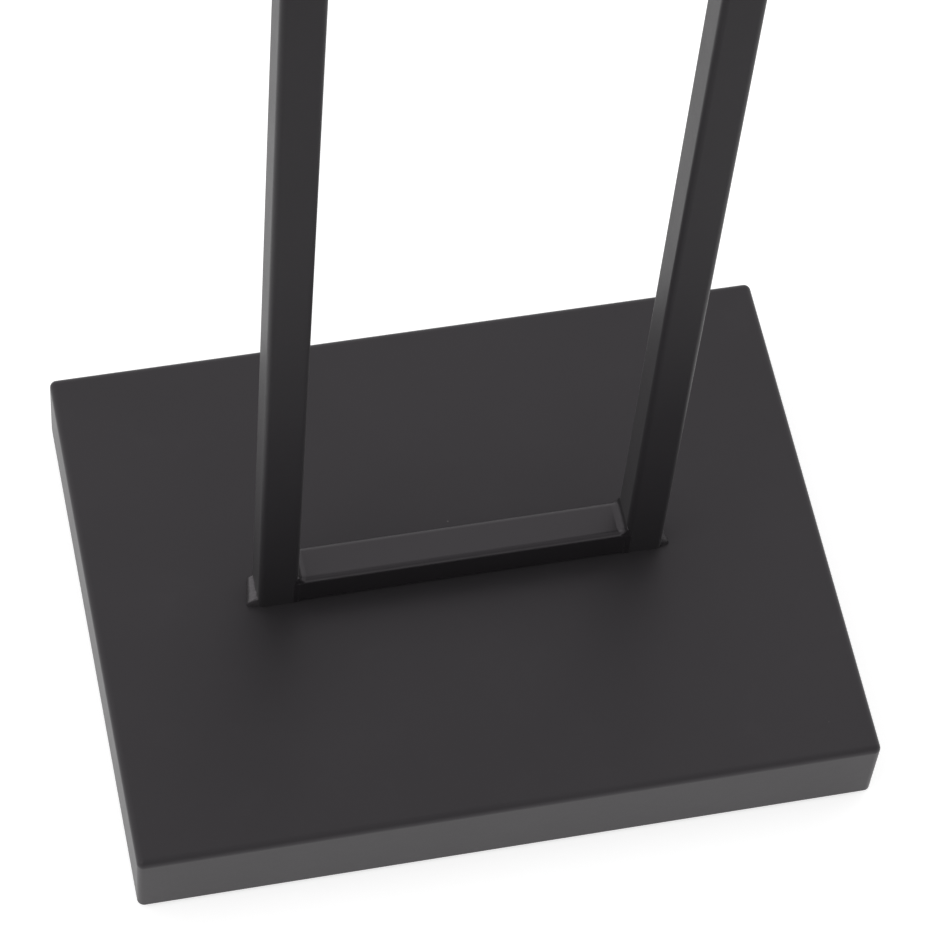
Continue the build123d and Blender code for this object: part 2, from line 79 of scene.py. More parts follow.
class Wire:
    """An output socket whose arithmetic adds Math nodes to the board that it is on."""

    def __init__(self, board: "Board", socket: bpy.types.NodeSocket) -> None:
        """Keeps the socket and its board.

        Args:
            board: The board that new nodes go on.
            socket: The output socket that this wire stands for.
        """
        self.board = board
        self.socket = socket

    def __add__(self, other: "Wire | float") -> "Wire":
        """Adds."""
        return self.board.sum_up("ADD", self, other)

    def __radd__(self, other: float) -> "Wire":
        """Adds, from the right."""
        return self.board.sum_up("ADD", other, self)

    def __sub__(self, other: "Wire | float") -> "Wire":
        """Subtracts."""
        return self.board.sum_up("SUBTRACT", self, other)

    def __rsub__(self, other: float) -> "Wire":
        """Subtracts this from a number."""
        return self.board.sum_up("SUBTRACT", other, self)

    def __mul__(self, other: "Wire | float") -> "Wire":
        """Multiplies."""
        return self.board.sum_up("MULTIPLY", self, other)

    def __rmul__(self, other: float) -> "Wire":
        """Multiplies, from the right."""
        return self.board.sum_up("MULTIPLY", other, self)

    def above(self, limit: "Wire | float") -> "Wire":
        """Gives one where this is above the limit, and nought elsewhere."""
        return self.board.sum_up("GREATER_THAN", self, limit)

    def power(self, exponent: float) -> "Wire":
        """Raises to a power."""
        return self.board.sum_up("POWER", self, exponent)

    def sine(self) -> "Wire":
        """Takes the sine, in radians."""
        return self.board.sum_up("SINE", self)

    def ramp(self, low: float, high: float) -> "Wire":
        """Runs smoothly from nought at low to one at high.

        Args:
            low: Value that gives nought.
            high: Value that gives one. It may be below low, which turns the ramp round.

        Returns:
            The ramped value.
        """
        node = self.board.add(
            "ShaderNodeMapRange",
            {"interpolation_type": "SMOOTHSTEP"},
            {"Value": self, "From Min": low, "From Max": high},
        )
        return Wire(self.board, node.outputs["Result"])


class Board:
    """A material's node tree, with one method that makes any node."""

    def __init__(self, name: str) -> None:
        """Makes an empty material.

        Args:
            name: The material's name.
        """
        self.material = bpy.data.materials.new(name)
        self.material.use_nodes = True
        self.tree = self.material.node_tree
        self.tree.nodes.clear()
        self.place = self.out("ShaderNodeTexCoord", {}, {}, "Object")

    def add(self, kind: str, settings: dict, inputs: dict) -> bpy.types.Node:
        """Makes a node.

        Args:
            kind: The node's type.
            settings: Attributes, set first.
            inputs: Values, or wires to link, by socket name or number.

        Returns:
            The node.
        """
        node = self.tree.nodes.new(kind)
        for key, value in settings.items():
            setattr(node, key, value)
        for key, value in inputs.items():
            socket = node.inputs[key]
            if isinstance(value, Wire):
                self.tree.links.new(value.socket, socket)
            else:
                socket.default_value = value
        return node

    def out(self, kind: str, settings: dict, inputs: dict, name: str | int = 0) -> Wire:
        """Makes a node and gives one of its outputs.

        Args:
            kind: The node's type.
            settings: Attributes, set first.
            inputs: Values, or wires to link.
            name: The output's name or number.

        Returns:
            The output as a wire.
        """
        return Wire(self, self.add(kind, settings, inputs).outputs[name])

    def sum_up(self, operation: str, *terms: Wire | float) -> Wire:
        """Makes a Math node.

        Args:
            operation: The node's operation.
            terms: Values or wires.

        Returns:
            The result.
        """
        return self.out("ShaderNodeMath", {"operation": operation}, dict(enumerate(terms)))

    def noise(self, scale: float, detail: float = 3.0, roughness: float = 0.5,
              stretch: Colour = (1.0, 1.0, 1.0), where: Wire | None = None) -> Wire:
        """Makes soft noise from nought to one.

        Args:
            scale: Lumps to the metre.
            detail: Octaves.
            roughness: Strength of the finer octaves.
            stretch: Scale along each axis.
            where: Coordinates, the object's own if left out.

        Returns:
            The noise.
        """
        return self.out(
            "ShaderNodeTexNoise",
            {},
            {
                "Vector": self.stretched(stretch, where),
                "Scale": scale,
                "Detail": detail,
                "Roughness": roughness,
            },
            "Fac",
        )

    def stretched(self, stretch: Colour, where: Wire | None = None) -> Wire:
        """Scales coordinates.

        Args:
            stretch: Scale along each axis.
            where: Coordinates, the object's own if left out.

        Returns:
            The scaled coordinates.
        """
        return self.out("ShaderNodeMapping", {}, {"Vector": where or self.place, "Scale": stretch})

    def cells(self, scale: float) -> bpy.types.Node:
        """Makes a Voronoi texture.

        Args:
            scale: Cells to the metre.

        Returns:
            The node.
        """
        return self.add("ShaderNodeTexVoronoi", {}, {"Vector": self.place, "Scale": scale})

    def axes(self, where: Wire | None = None) -> tuple[Wire, Wire, Wire]:
        """Splits coordinates.

        Args:
            where: Coordinates, the object's own if left out.

        Returns:
            x, y and z.
        """
        node = self.add("ShaderNodeSeparateXYZ", {}, {"Vector": where or self.place})
        return tuple(Wire(self, node.outputs[i]) for i in range(3))

    def facing(self) -> tuple[Wire, Wire, Wire]:
        """Splits the surface's true normal.

        Returns:
            Its x, y and z.
        """
        return self.axes(self.out("ShaderNodeNewGeometry", {}, {}, "True Normal"))

    def edges(self, reach: float) -> Wire:
        """Finds the edges and small radii of the shape.

        Args:
            reach: How far from an edge the mask still sees it, in metres.

        Returns:
            Nought on flat stretches, rising towards one on edges.
        """
        rounded = self.out("ShaderNodeBevel", {"samples": 4}, {"Radius": reach})
        true = self.out("ShaderNodeNewGeometry", {}, {}, "Normal")
        product = {"operation": "DOT_PRODUCT"}
        along = self.out("ShaderNodeVectorMath", product, {0: rounded, 1: true}, "Value")
        return (1.0 - along).ramp(0.002, 0.12)

    def tint(self, share: Wire | float, first: Colour | Wire, second: Colour | Wire) -> Wire:
        """Mixes two colours.

        Args:
            share: How much of the second.
            first: A colour.
            second: A colour.

        Returns:
            The mixed colour.
        """
        inputs = {0: share, 6: first, 7: second}
        for key in (6, 7):
            if not isinstance(inputs[key], Wire):
                inputs[key] = (*inputs[key], 1.0)
        return self.out("ShaderNodeMix", {"data_type": "RGBA", "clamp_factor": True}, inputs, 2)

    def bump(self, height: Wire, depth: float, under: Wire | None = None) -> Wire:
        """Turns a height into a normal.

        Args:
            height: Height from nought to one.
            depth: What one stands for, in metres.
            under: A normal to add to.

        Returns:
            The normal.
        """
        inputs = {"Height": height, "Distance": depth, "Strength": 1.0}
        if under:
            inputs["Normal"] = under
        return self.out("ShaderNodeBump", {}, inputs)

    def finish(self, **inputs: "Wire | float | Sequence[float]") -> bpy.types.Material:
        """Closes the material with a Principled shader.

        Args:
            inputs: Socket names with _ for a space, and their values or wires.

        Returns:
            The material.
        """
        named = {key.replace("_", " "): value for key, value in inputs.items()}
        shader = self.add("ShaderNodeBsdfPrincipled", {}, named)
        output = self.add("ShaderNodeOutputMaterial", {}, {})
        self.tree.links.new(shader.outputs[0], output.inputs["Surface"])
        return self.material


# --- Finishes -------------------------------------------------------------------------


@dataclass(frozen=True)
class PowderCoat:
    """Satin black powder coat over steel."""

    name: str
    colour: Colour = (0.0128, 0.0118, 0.0130)
    gloss: float = 0.40
    ior: float = 1.5
    sheen: float = 0.0
    sheen_tint: Colour = (1.0, 0.94, 1.0)
    grain: float = 900.0
    grain_depth: float = 0.022 * MM
    peel_depth: float = 0.04 * MM
    dust: float = 0.5
    dust_colour: Colour = (0.16, 0.155, 0.15)
    # Edge lightening: partly rubbed wear, and where its share is large a painted highlight along the
    # rounded edges.
    edge_rub_and_highlight: float = 0.25
    edge_rub_and_highlight_reach: float = 1.2 * MM
    edge_rub_and_highlight_colour: Colour = (0.07, 0.066, 0.068)

    def material(self) -> bpy.types.Material:
        """Makes the coat: fine grain, slow cloudiness, lighter rubbed patches and edges that are partly
        wear and partly a painted highlight, a few settled specks.

        Returns:
            The material.
        """
        b = Board(self.name)
        clouds = b.noise(9.0, 4.0, 0.55)
        patches = b.noise(38.0, 5.0, 0.6)
        grain = b.noise(self.grain, 2.0, 0.6)
        peel = b.noise(150.0, 1.5, 0.4)
        _, _, up = b.facing()
        specks = b.cells(55.0)
        chance = b.axes(Wire(b, specks.outputs["Color"]))[0].above(0.93)
        mote = Wire(b, specks.outputs["Distance"]).ramp(0.035, 0.02) * chance * up.above(0.9)
        # Lighter, glossier edges: partly wear where the coat is rubbed, partly a painted highlight on
        # the rounded edges, strongest on the bottom bar.
        rubbed_and_highlit_edges = b.edges(self.edge_rub_and_highlight_reach) * patches.ramp(0.35, 0.65) * self.edge_rub_and_highlight
        coat = b.tint(clouds.ramp(0.3, 0.7), self.scaled(0.97), self.scaled(1.08))
        coat = b.tint(patches.ramp(0.55, 0.8) * 0.25, coat, self.scaled(1.4))
        coat = b.tint(rubbed_and_highlit_edges, coat, self.edge_rub_and_highlight_colour)
        coat = b.tint(mote * self.dust, coat, self.dust_colour)
        rough = self.gloss + (clouds - 0.5) * 0.04 + (patches - 0.5) * 0.07 + (grain - 0.5) * 0.10
        normal = b.bump(grain, self.grain_depth, b.bump(peel, self.peel_depth))
        return b.finish(
            Base_Color=coat,
            Roughness=rough - rubbed_and_highlit_edges * 0.2,
            Normal=normal,
            IOR=self.ior,
            Specular_Tint=(*self.sheen_tint, 1.0),
            Sheen_Weight=self.sheen,
            Sheen_Roughness=0.4,
        )

    def scaled(self, share: float) -> Colour:
        """Makes the coat's colour lighter or darker."""
        return tuple(channel * share for channel in self.colour)


@dataclass(frozen=True)
class StainedBeech:
    """Beech stained black, with a thin satin lacquer."""

    name: str = "stained_beech"
    colour: Colour = (0.014, 0.0115, 0.010)
    gloss: float = 0.36
    grain_depth: float = 0.08 * MM

    def material(self) -> bpy.types.Material:
        """Makes the wood: long growth lines, short dark flecks and a lacquer that rounds them off.

        Returns:
            The material.
        """
        b = Board(self.name)
        drift = b.noise(3.0, 2.0, 0.5, (1.0, 6.0, 6.0))
        _, y, z = b.axes()
        rings = ((y * 420.0 + z * 190.0 + drift * 22.0).sine() * 0.5 + 0.5).power(2.0)
        fibre = b.noise(60.0, 5.0, 0.65, (0.06, 9.0, 9.0))
        fleck = b.noise(190.0, 2.0, 0.5, (0.12, 1.6, 1.6)).ramp(0.63, 0.72)
        tone = b.tint(rings * 0.5 + fibre * 0.5, self.colour, tuple(c * 2.6 for c in self.colour))
        tone = b.tint(fleck * 0.6, tone, tuple(c * 0.4 for c in self.colour))
        worn = b.noise(14.0, 3.0, 0.6).ramp(0.55, 0.8)
        rough = self.gloss + fibre * 0.10 - worn * 0.06 + fleck * 0.1
        normal = b.bump(fibre * 0.6 + rings * 0.4 - fleck * 0.8, self.grain_depth)
        return b.finish(Base_Color=tone, Roughness=rough, Normal=normal, IOR=1.5)


@dataclass(frozen=True)
class BareSteel:
    """Turned, rolled or plated metal."""

    name: str
    colour: Colour = (0.50, 0.51, 0.52)
    gloss: float = 0.32
    metallic: float = 1.0
    scratch_depth: float = 0.02 * MM

    def material(self) -> bpy.types.Material:
        """Makes the metal: a mottled film, hairline scratches and dull spots.

        Returns:
            The material.
        """
        b = Board(self.name)
        film = b.noise(160.0, 3.0, 0.5)
        hair = b.noise(900.0, 2.0, 0.5, (0.08, 1.0, 1.0))
        dull = b.noise(60.0, 4.0, 0.6).ramp(0.6, 0.75)
        tone = b.tint(film, tuple(c * 0.82 for c in self.colour), self.colour)
        tone = b.tint(dull * 0.4, tone, tuple(c * 0.55 for c in self.colour))
        rough = self.gloss + dull * 0.18 + (film - 0.5) * 0.1
        normal = b.bump(hair, self.scratch_depth)
        return b.finish(Base_Color=tone, Roughness=rough, Metallic=self.metallic, Normal=normal)


@dataclass(frozen=True)
class Rubber:
    """Moulded black rubber."""

    name: str = "moulded_rubber"
    colour: Colour = (0.022, 0.022, 0.022)
    gloss: float = 0.62
    skin_depth: float = 0.03 * MM

    def material(self) -> bpy.types.Material:
        """Makes the rubber: a fine moulded skin with a grey bloom.

        Returns:
            The material.
        """
        b = Board(self.name)
        skin = b.noise(1400.0, 2.0, 0.5)
        bloom = b.noise(70.0, 4.0, 0.6).ramp(0.45, 0.8)
        tone = b.tint(bloom * 0.5, self.colour, tuple(c * 2.4 for c in self.colour))
        normal = b.bump(skin, self.skin_depth)
        return b.finish(Base_Color=tone, Roughness=self.gloss + bloom * 0.2, Normal=normal)


@dataclass(frozen=True)
class Felt:
    """Pressed wool felt."""

    name: str = "wool_felt"
    colour: Colour = (0.040, 0.040, 0.043)
    hair_colour: Colour = (0.16, 0.16, 0.165)
    nap_depth: float = 0.6 * MM

    def material(self) -> bpy.types.Material:
        """Makes the felt: matted fibres in two lays, pale hairs and pressed patches.

        Returns:
            The material.
        """
        b = Board(self.name)
        warp = b.noise(120.0, 3.0, 0.6)
        drift = Wire(b, warp.socket.node.outputs["Color"])
        lay = b.out("ShaderNodeVectorMath", {"operation": "ADD"}, {0: b.place, 1: drift})
        strands = b.noise(700.0, 4.0, 0.7, (1.0, 0.25, 1.0))
        cross = b.noise(650.0, 4.0, 0.7, (0.25, 1.0, 1.0))
        hairs = b.noise(240.0, 4.0, 0.7, (0.3, 2.0, 1.0), lay).ramp(0.62, 0.7)
        mat = strands * 0.5 + cross * 0.5
        tone = b.tint(mat, tuple(c * 0.6 for c in self.colour), tuple(c * 1.7 for c in self.colour))
        tone = b.tint(hairs * 0.35, tone, self.hair_colour)
        normal = b.bump(mat + hairs * 0.5, self.nap_depth)
        return b.finish(Base_Color=tone, Roughness=0.95, Normal=normal, Sheen_Weight=0.3)


@dataclass(frozen=True)
class PaleFloor:
    """Plain pale studio floor."""

    name: str = "studio_floor"
    colour: Colour = (0.60, 0.60, 0.60)
    glow: float = 0.66

    def material(self) -> bpy.types.Material:
        """Makes the floor: an even pale sheet with the faintest cloudiness.

        Returns:
            The material.
        """
        b = Board(self.name)
        clouds = b.noise(1.5, 2.0, 0.5)
        tone = b.tint(clouds * 0.2, self.colour, tuple(c * 0.98 for c in self.colour))
        return b.finish(
            Base_Color=tone,
            Roughness=0.9,
            Emission_Color=(1.0, 1.0, 1.0, 1.0),
            Emission_Strength=self.glow,
        )


class Finish(Enum):
    """The finishes that the pieces choose from."""

    BASE_COAT = PowderCoat("base_powder_coat", (0.0285, 0.0267, 0.0288), ior=1.34)
    # Its large edge share paints a light highlight along the bar's rounded edges and the joint welds'
    # coves.
    BAR_COAT = PowderCoat("bar_powder_coat", (0.0105, 0.0096, 0.0107), 0.36, 1.53, edge_rub_and_highlight=0.8)
    HOOP_COAT = PowderCoat("hoop_powder_coat", (0.0150, 0.0137, 0.0154), 0.42, 1.20, 0.08)
    # A lighter, glossier copy of the coat for the left foot bead: painted light, where that bead faces
    # the light from the left.
    LIT_BEAD_COAT = PowderCoat("lit_bead_powder_coat", (0.034, 0.032, 0.0335), 0.32, 1.7)
    BEECH = StainedBeech()
    BLACK_OXIDE = BareSteel("black_oxide", (0.06, 0.06, 0.062), 0.42, 0.9)
    ZINC = BareSteel("zinc_plate")
    PRIMER = PowderCoat("grey_primer", (0.16, 0.16, 0.165), 0.62, dust=0.0, edge_rub_and_highlight=0.0)
    BRASS = BareSteel("turned_brass", (0.62, 0.42, 0.16), 0.28)
    RUBBER = Rubber()
    FELT = Felt()

    @property
    def material(self) -> bpy.types.Material:
        """The material, made the first time that it is asked for."""
        return bpy.data.materials.get(self.value.name) or self.value.material()


# --- Mesh tools -----------------------------------------------------------------------


def clear_selection() -> None:
    """Deselects every object."""
    for thing in bpy.context.view_layer.objects:
        thing.select_set(False)


def begin(name: str) -> bpy.types.Object:
    """Names the primitive that was just added, puts its place into its mesh and opens it for editing.

    Args:
        name: The piece's name.

    Returns:
        The piece, in edit mode with all of it selected.
    """
    piece = bpy.context.object
    piece.name = name
    bpy.ops.object.transform_apply(location=True, rotation=True, scale=True)
    bpy.ops.object.mode_set(mode="EDIT")
    bpy.ops.mesh.select_all(action="SELECT")
    return piece


def pick(test: Callable[[Vector], bool]) -> None:
    """Selects the vertices that pass a test, in edit mode.

    Args:
        test: Takes a vertex's place and says whether it is wanted.
    """
    bpy.ops.mesh.select_mode(type="VERT")
    mesh = bpy.context.edit_object.data
    drawn = bmesh.from_edit_mesh(mesh)
    for vertex in drawn.verts:
        vertex.select = test(vertex.co)
    drawn.select_flush_mode()
    bmesh.update_edit_mesh(mesh)


def slice_off(place: Vector, outward: Vector) -> None:
    """Cuts away what lies beyond a plane and closes the cut, in edit mode.

    Args:
        place: A point on the plane.
        outward: Normal of the plane, towards the side that goes.
    """
    bpy.ops.mesh.select_all(action="SELECT")
    bpy.ops.mesh.bisect(plane_co=place, plane_no=outward, clear_outer=True, use_fill=True)


def extrude(step: tuple[float, float, float]) -> None:
    """Extrudes the selected faces by a step, in edit mode."""
    bpy.ops.mesh.extrude_region_move(TRANSFORM_OT_translate={"value": step})


def modify(piece: bpy.types.Object, kind: str, **settings: object) -> None:
    """Adds a modifier and applies it.

    Args:
        piece: The piece, in object mode.
        kind: The modifier's type.
        settings: Its settings.
    """
    bpy.context.view_layer.objects.active = piece
    modifier = piece.modifiers.new(kind.lower(), kind)
    for key, value in settings.items():
        setattr(modifier, key, value)
    bpy.ops.object.modifier_apply(modifier=modifier.name)


def roughen(piece: bpy.types.Object, size: float, depth: float) -> None:
    """Makes a surface slightly uneven.

    Args:
        piece: The piece, in object mode.
        size: Size of the lumps in metres.
        depth: Height of the lumps in metres.
    """
    lumps = bpy.data.textures.new(f"{piece.name}_lumps", "CLOUDS")
    lumps.noise_scale = size
    modify(piece, "DISPLACE", texture=lumps, strength=depth, mid_level=0.5, texture_coords="LOCAL")


def complete(piece: bpy.types.Object, finish: "Finish", slot: str, *nodes: str) -> None:
    """Closes a piece: normals outwards, smooth shading, finish, body and the nodes that it stands for.

    Args:
        piece: The piece, in either mode.
        finish: Its finish.
        slot: The record's material slot; not used.
        nodes: The CAD nodes that it replaces.
    """
    bpy.context.view_layer.objects.active = piece
    bpy.ops.object.mode_set(mode="EDIT")
    bpy.ops.mesh.select_all(action="SELECT")
    bpy.ops.mesh.remove_doubles(threshold=MERGE)
    bpy.ops.mesh.normals_make_consistent(inside=False)
    bpy.ops.object.mode_set(mode="OBJECT")
    clear_selection()
    piece.select_set(True)
    bpy.ops.object.shade_smooth_by_angle(angle=SMOOTH_ANGLE)
    piece.data.materials.clear()
    piece.data.materials.append(finish.material)
    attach(piece, BODY)
    if nodes:
        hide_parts(*nodes)
    piece.select_set(False)
    LOG.info("%s: %d faces", piece.name, len(piece.data.polygons))


def dress(names: Iterable[str], finish: Finish) -> None:
    """Gives CAD nodes a finish.

    Args:
        names: The nodes.
        finish: The finish.
    """
    for name in names:
        slots = frame["nodes"][name].data.materials
        slots.clear()
        slots.append(finish.material)


# --- Sub-assemblies -------------------------------------------------------------------

SIDES = (("left", -1), ("right", 1))


@dataclass
class BaseBox:
    """The folded steel box with its weight, cover and feet."""

    sides: tuple[str, ...] = ("front", "back", "left", "right")

    def build(self) -> None:
        """Dresses the box and what is in and under it."""
        dress(["base_shell", "bottom_cover"], Finish.BASE_COAT)
        dress(["left_stiffener", "right_stiffener", "ballast_plate"], Finish.PRIMER)
        dress([f"{side}_cover_bracket" for side in self.sides], Finish.PRIMER)
        dress(["ballast_nuts", "ballast_bolts", "ballast_washers", "cover_screws"], Finish.ZINC)
        dress(["foot_screws", "foot_nuts"], Finish.ZINC)
        dress([f"{end}_{side}_foot" for end in self.sides[:2] for side in self.sides[2:]], Finish.RUBBER)
        LOG.info("base box dressed")


@dataclass
class Hoop:
    """The welded hoop of square tube."""

    tube_radius: float = 3.0 * MM
    sunk: float = 0.2 * MM
    seam_proud: float = 0.03 * MM
    weld_voxel: float = 0.32 * MM
    weld_lumps: tuple[float, float] = (3.0 * MM, 0.1 * MM)
    cove_steps: int = 8
    shoulder_fall: float = 0.6
    bead_rolls: int = 9
    bead_sides: int = 20
    bead_back: float = 0.45
    bead_waist: float = 0.95
    bead_tip: float = 0.6
    bead_base_sunk: float = 0.4 * MM
    bead_wall_sunk: float = 0.8 * MM
    bead_lumps: tuple[float, float] = (2.5 * MM, 0.25 * MM)
    bead_swell: tuple[float, float] = (1.15, 0.85)

    def build(self) -> None:
        """Dresses the tubes and makes the welds."""
        dress(["left_upright", "right_upright", "top_bar"], Finish.HOOP_COAT)
        dress(["bottom_bar"], Finish.BAR_COAT)
        LOG.info("hoop dressed")
        # Painted light: the left bead takes the lighter bead coat for the light from the left, the right
        # bead the plain base coat.
        bead_finishes_left_lit = (Finish.LIT_BEAD_COAT, Finish.BASE_COAT)
        for (side, sign), swell, finish in zip(SIDES, self.bead_swell, bead_finishes_left_lit):
            self.fill_joint(side, sign)
            self.run_bead(side, sign, swell, finish)

    def fill_joint(self, side: str, sign: int) -> None:
        """Welds an end of the bar to its upright: a cove on top, dressed flush at front and back.

        Args:
            side: The side's name.
            sign: Which way the side lies along X.
        """
        low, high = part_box("bottom_bar")
        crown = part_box(f"{side}_bar_weld")[1].z
        leg = crown - high.z
        middle = (low.z + high.z) / 2
        start = sign * (high.x - leg)
        clear_selection()
        bpy.ops.mesh.primitive_plane_add(
            size=high.z - low.z - 2 * self.sunk,
            location=(start, 0.0, middle),
            rotation=(0.0, sign * math.pi / 2, 0.0),
        )
        weld = begin(f"{side}_joint_weld")
        bpy.ops.mesh.bevel(offset=self.tube_radius, segments=5, affect="VERTICES")
        bpy.ops.mesh.select_all(action="SELECT")
        for step in range(self.cove_steps):
            first, second = ((step + ahead) / self.cove_steps * math.pi / 2 for ahead in (0, 1))
            extrude((sign * leg * (math.sin(second) - math.sin(first)), 0.0, 0.0))
            here = start + sign * leg * math.sin(second)
            pick(lambda co: abs(co.x - here) < NEAR and co.z > middle)
            rise = leg * (math.cos(first) - math.cos(second))
            bpy.ops.transform.translate(value=(0.0, 0.0, rise))
            pick(lambda co: abs(co.x - here) < NEAR)
        extrude((sign * (self.tube_radius + self.sunk), 0.0, 0.0))
        end = start + sign * (leg + self.tube_radius + self.sunk)
        pick(lambda co: abs(co.x - end) < NEAR and co.z > middle)
        bpy.ops.transform.translate(value=(0.0, 0.0, -leg * self.shoulder_fall))
        bpy.ops.object.mode_set(mode="OBJECT")
        self.add_seam(weld, sign)
        modify(weld, "REMESH", mode="VOXEL", voxel_size=self.weld_voxel)
        modify(weld, "SMOOTH", factor=0.5, iterations=3)
        roughen(weld, *self.weld_lumps)
        complete(weld, Finish.BAR_COAT, "frame_coat", f"{side}_bar_weld")

    def add_seam(self, weld: bpy.types.Object, sign: int) -> None:
        """Adds the block that fills the groove beside the rounded edges of the upright.

        Args:
            weld: The weld that the block joins.
            sign: Which way the side lies along X.
        """
        low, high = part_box("bottom_bar")
        inner = high.x - 2 * self.sunk
        outer = high.x + self.tube_radius + self.sunk
        clear_selection()
        bpy.ops.mesh.primitive_cube_add(
            size=1.0,
            location=(sign * (inner + outer) / 2, 0.0, (low.z + high.z) / 2),
            scale=(outer - inner, high.y - low.y + 2 * self.seam_proud, high.z - low.z),
        )
        block = begin("seam_block")
        pick(lambda co: co.z > high.z - NEAR)
        bpy.ops.mesh.bevel(offset=self.tube_radius, segments=4, affect="EDGES")
        bpy.ops.object.mode_set(mode="OBJECT")
        clear_selection()
        block.select_set(True)
        weld.select_set(True)
        bpy.context.view_layer.objects.active = weld
        bpy.ops.object.join()

    def run_bead(self, side: str, sign: int, swell: float, finish: Finish) -> None:
        """Runs a fillet bead along the outer side of a foot, wider at the front where it ends.

        Args:
            side: The side's name.
            sign: Which way the side lies along X.
            swell: How much fuller it is than its leg size.
            finish: Its finish.
        """
        low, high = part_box(f"{side}_foot_weld")
        leg = high.z - low.z
        wall = low.x if sign > 0 else high.x
        corner = Vector((wall, 0.0, low.z))
        steps = 2 * self.bead_rolls
        pitch = (high.y - low.y) / steps
        girth = 0.5
        clear_selection()
        bpy.ops.mesh.primitive_circle_add(
            vertices=self.bead_sides,
            radius=leg * girth * swell,
            fill_type="NGON",
            location=(corner.x, low.y + self.sunk, corner.z),
            rotation=(math.pi / 2, 0.0, 0.0),
        )
        bead = begin(f"{side}_foot_bead")
        for step in range(1, steps):
            wanted = 1.0 - (1.0 - self.bead_back) * step / steps
            wanted *= 1.0 if step % 2 else self.bead_waist
            if step == steps - 1:
                wanted *= self.bead_tip
            extrude((0.0, pitch, 0.0))
            grow = wanted / girth
            bpy.ops.transform.resize(value=(grow, 1.0, grow), center_override=corner)
            girth = wanted
        bpy.ops.object.mode_set(mode="OBJECT")
        modify(bead, "SUBSURF", levels=2, render_levels=2)
        bpy.ops.object.mode_set(mode="EDIT")
        slice_off(corner - Vector((0.0, 0.0, self.bead_base_sunk)), Vector((0.0, 0.0, -1.0)))
        slice_off(corner - Vector((sign * self.bead_wall_sunk, 0.0, 0.0)), Vector((-sign, 0.0, 0.0)))
        bpy.ops.object.mode_set(mode="OBJECT")
        roughen(bead, *self.bead_lumps)
        complete(bead, finish, "frame_coat", f"{side}_foot_weld")


@dataclass
class Top:
    """The jacket hanger, trouser bar and key tray."""

    liner_corner: float = 7.0 * MM
    liner_cells: tuple[int, int] = (116, 56)
    liner_thickness: float = 1.6 * MM
    liner_sunk: float = 0.2 * MM
    liner_waves: tuple[float, float] = (9.0 * MM, 0.3 * MM)
    liner_nap: tuple[float, float] = (2.2 * MM, 0.12 * MM)
    liner_edge: float = 0.3 * MM
    sliver: float = 0.5 * MM
    corner_cuts: int = 5

    def build(self) -> None:
        """Dresses the pieces and lays the liner."""
        dress(["jacket_hanger", "trouser_bar"], Finish.BEECH)
        for side, _ in SIDES:
            dress([f"{side}_hanger_post", f"{side}_bar_spacer"], Finish.HOOP_COAT)
        dress(["hanger_bolts", "trouser_bar_bolts", "tray_screws"], Finish.BLACK_OXIDE)
        dress(["hanger_inserts", "trouser_bar_inserts"], Finish.BRASS)
        dress(["tray_rivet_nuts"], Finish.ZINC)
        dress(["key_tray"], Finish.HOOP_COAT)
        LOG.info("top dressed")
        self.lay_liner()

    def lay_liner(self) -> None:
        """Cuts the felt to the tray's floor, rounds its corners and lays it in."""
        low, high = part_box("tray_liner")
        width, length = high.x - low.x, high.y - low.y
        middle = (low + high) / 2
        clear_selection()
        bpy.ops.mesh.primitive_grid_add(
            x_subdivisions=self.liner_cells[0],
            y_subdivisions=self.liner_cells[1],
            size=1.0,
            location=(middle.x, middle.y, high.z - self.liner_sunk),
        )
        bpy.context.object.scale = (width, length, 1.0)
        liner = begin("felt_liner")
        for end_x in (-1, 1):
            for end_y in (-1, 1):
                self.round_corner(middle, (width / 2, length / 2), end_x, end_y)
        bpy.ops.mesh.select_all(action="SELECT")
        bpy.ops.mesh.remove_doubles(threshold=self.sliver)
        bpy.ops.object.mode_set(mode="OBJECT")
        roughen(liner, *self.liner_waves)
        roughen(liner, *self.liner_nap)
        modify(liner, "SOLIDIFY", thickness=self.liner_thickness, offset=-1.0)
        edges = {"limit_method": "ANGLE", "angle_limit": math.radians(60.0)}
        modify(liner, "BEVEL", width=self.liner_edge, segments=2, **edges)
        complete(liner, Finish.FELT, "felt", "tray_liner")

    def round_corner(self, middle: Vector, half: tuple[float, float], end_x: int, end_y: int) -> None:
        """Trims one corner round, in edit mode.

        Args:
            middle: Middle of the liner.
            half: Half of its width and length.
            end_x: Which way the corner lies along X.
            end_y: Which way the corner lies along Y.
        """
        hub = Vector((
            middle.x + end_x * (half[0] - self.liner_corner),
            middle.y + end_y * (half[1] - self.liner_corner),
            middle.z,
        ))
        for cut in range(self.corner_cuts):
            angle = (cut + 0.5) / self.corner_cuts * math.pi / 2
            outward = Vector((end_x * math.cos(angle), end_y * math.sin(angle), 0.0))
            touch = hub + outward * self.liner_corner
            bpy.ops.mesh.select_all(action="SELECT")
            bpy.ops.mesh.bisect(plane_co=touch, plane_no=outward, clear_outer=True)


# --- Studio ---------------------------------------------------------------------------


